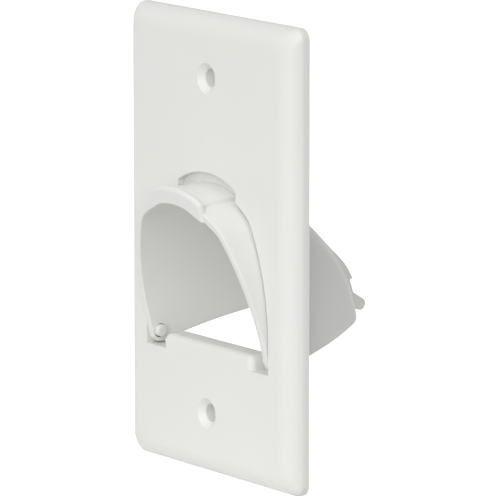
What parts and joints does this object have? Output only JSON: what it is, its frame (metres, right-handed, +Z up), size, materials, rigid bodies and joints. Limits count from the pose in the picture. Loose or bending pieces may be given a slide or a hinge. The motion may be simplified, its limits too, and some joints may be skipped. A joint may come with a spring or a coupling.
{
  "type": "bulk cable wall plate",
  "caption": "White moulded wall plate with an arched opening and a hinged scoop hood that leads a bundle of cables out of the wall.",
  "frame": {"origin": "centre of the plate on its back plane, midway between the screw holes", "axes": "+X to the right seen from the front, +Y into the wall, +Z up"},
  "size_m": [0.0698, 0.054, 0.1142],
  "materials": {
    "plate_plastic": "satin white moulded plastic",
    "hood_plastic": "satin white moulded plastic"
  },
  "bodies": {
    "plate": {"wall_plate": "plate_plastic"},
    "hood": {"hood": "hood_plastic"}
  },
  "joints": [
    {"name": "hood_hinge", "type": "hinge", "parent": "plate", "child": "hood", "pos_m": [0, -0.0033, -0.0246], "axis": [1, 0, 0], "range_deg": [-15.3, 75]}
  ]
}
